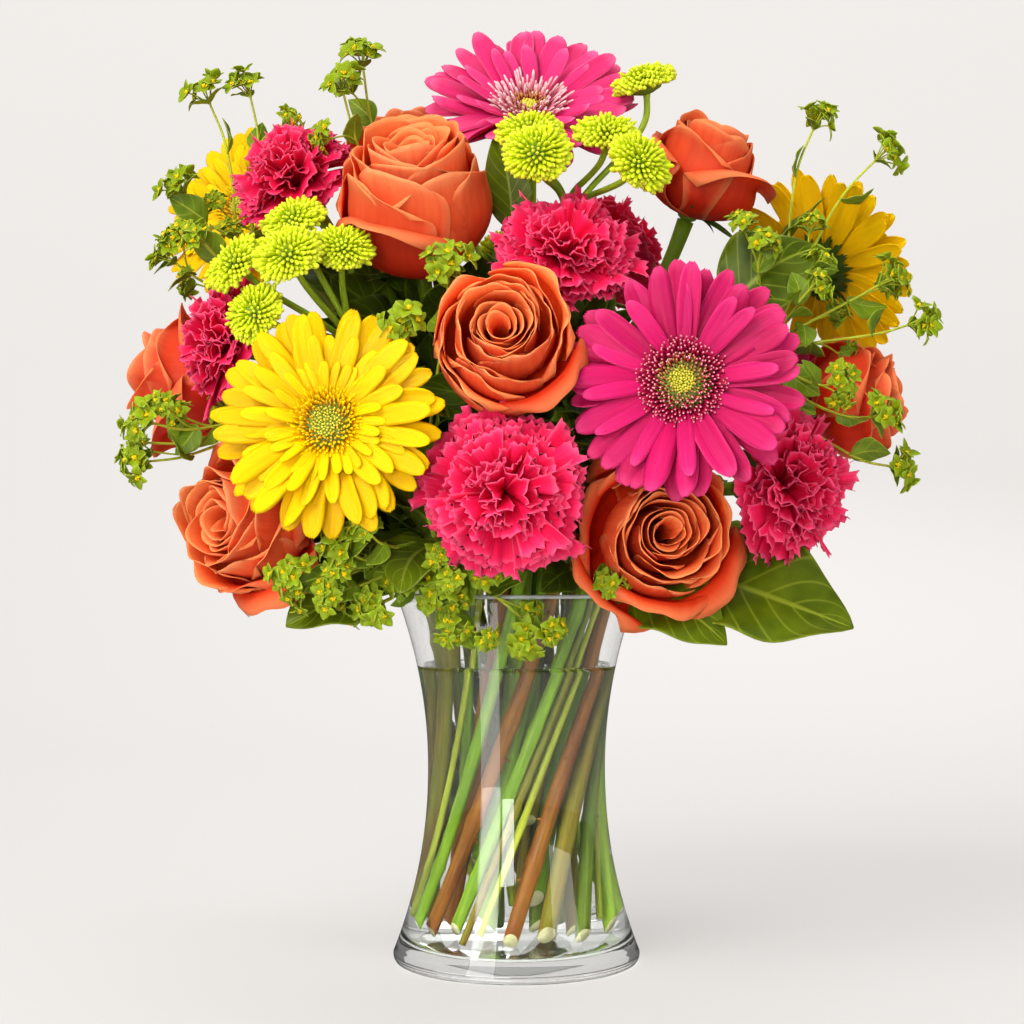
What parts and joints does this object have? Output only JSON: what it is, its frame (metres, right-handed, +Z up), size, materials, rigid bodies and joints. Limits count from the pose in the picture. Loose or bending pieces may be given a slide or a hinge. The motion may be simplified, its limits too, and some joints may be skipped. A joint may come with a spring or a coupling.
{
  "type": "vase of cut flowers",
  "caption": "Clear glass hourglass vase with water, holding a round bouquet of gerberas, roses, carnations, button pompons, bupleurum and leaves.",
  "frame": {"origin": "centre of the vase's foot, on the surface it stands on", "axes": "+Z up along the vase's axis, which is the longest way through the object; -Y is the bouquet's front, +X its right as seen from the front"},
  "size_m": [0.3982, 0.3228, 0.4678],
  "materials": {
    "glass": "polished",
    "water": "gloss",
    "pink": "satin",
    "yellow": "satin",
    "coral": "satin",
    "hot_pink": "matte",
    "lime": "matte",
    "bupleurum": "satin",
    "leaf": "satin",
    "green_stem": "satin",
    "brown_stem": "satin"
  },
  "bodies": {
    "root": {"bupleurum_sprig_1": "bupleurum", "bupleurum_sprig_2": "bupleurum", "bupleurum_sprig_3": "bupleurum", "bupleurum_sprig_4": "bupleurum", "bupleurum_sprig_5": "bupleurum", "carnation_1_head": "hot_pink", "carnation_1_stem": "green_stem", "carnation_2_head": "hot_pink", "carnation_2_stem": "green_stem", "carnation_3_head": "hot_pink", "carnation_3_stem": "green_stem", "carnation_4_head": "hot_pink", "carnation_4_stem": "green_stem", "carnation_5_head": "hot_pink", "carnation_5_stem": "green_stem", "carnation_6_head": "hot_pink", "carnation_6_stem": "green_stem", "carnation_7_head": "hot_pink", "carnation_7_stem": "green_stem", "gerbera_1_head": "pink", "gerbera_1_stem": "green_stem", "gerbera_2_head": "yellow", "gerbera_2_stem": "green_stem", "gerbera_3_head": "pink", "gerbera_3_stem": "green_stem", "gerbera_4_head": "yellow", "gerbera_4_stem": "green_stem", "gerbera_5_head": "yellow", "gerbera_5_stem": "green_stem", "gerbera_6_head": "pink", "gerbera_6_stem": "green_stem", "gerbera_7_head": "yellow", "gerbera_7_stem": "green_stem", "leaf_twig_1": "leaf", "leaf_twig_2": "leaf", "leaf_twig_3": "leaf", "leaf_twig_4": "leaf", "pompon_spray_1": "lime", "pompon_spray_2": "lime", "pompon_spray_3": "lime", "rose_1_head": "coral", "rose_1_stem": "green_stem", "rose_2_head": "coral", "rose_2_stem": "brown_stem", "rose_3_head": "coral", "rose_3_stem": "green_stem", "rose_4_head": "coral", "rose_4_stem": "brown_stem", "rose_5_head": "coral", "rose_5_stem": "green_stem", "rose_6_head": "coral", "rose_6_stem": "brown_stem", "rose_7_head": "coral", "rose_7_stem": "green_stem", "rose_8_head": "coral", "rose_8_stem": "brown_stem", "rose_9_head": "coral", "rose_9_stem": "green_stem", "vase": "glass", "water": "water"}
  },
  "joints": []
}
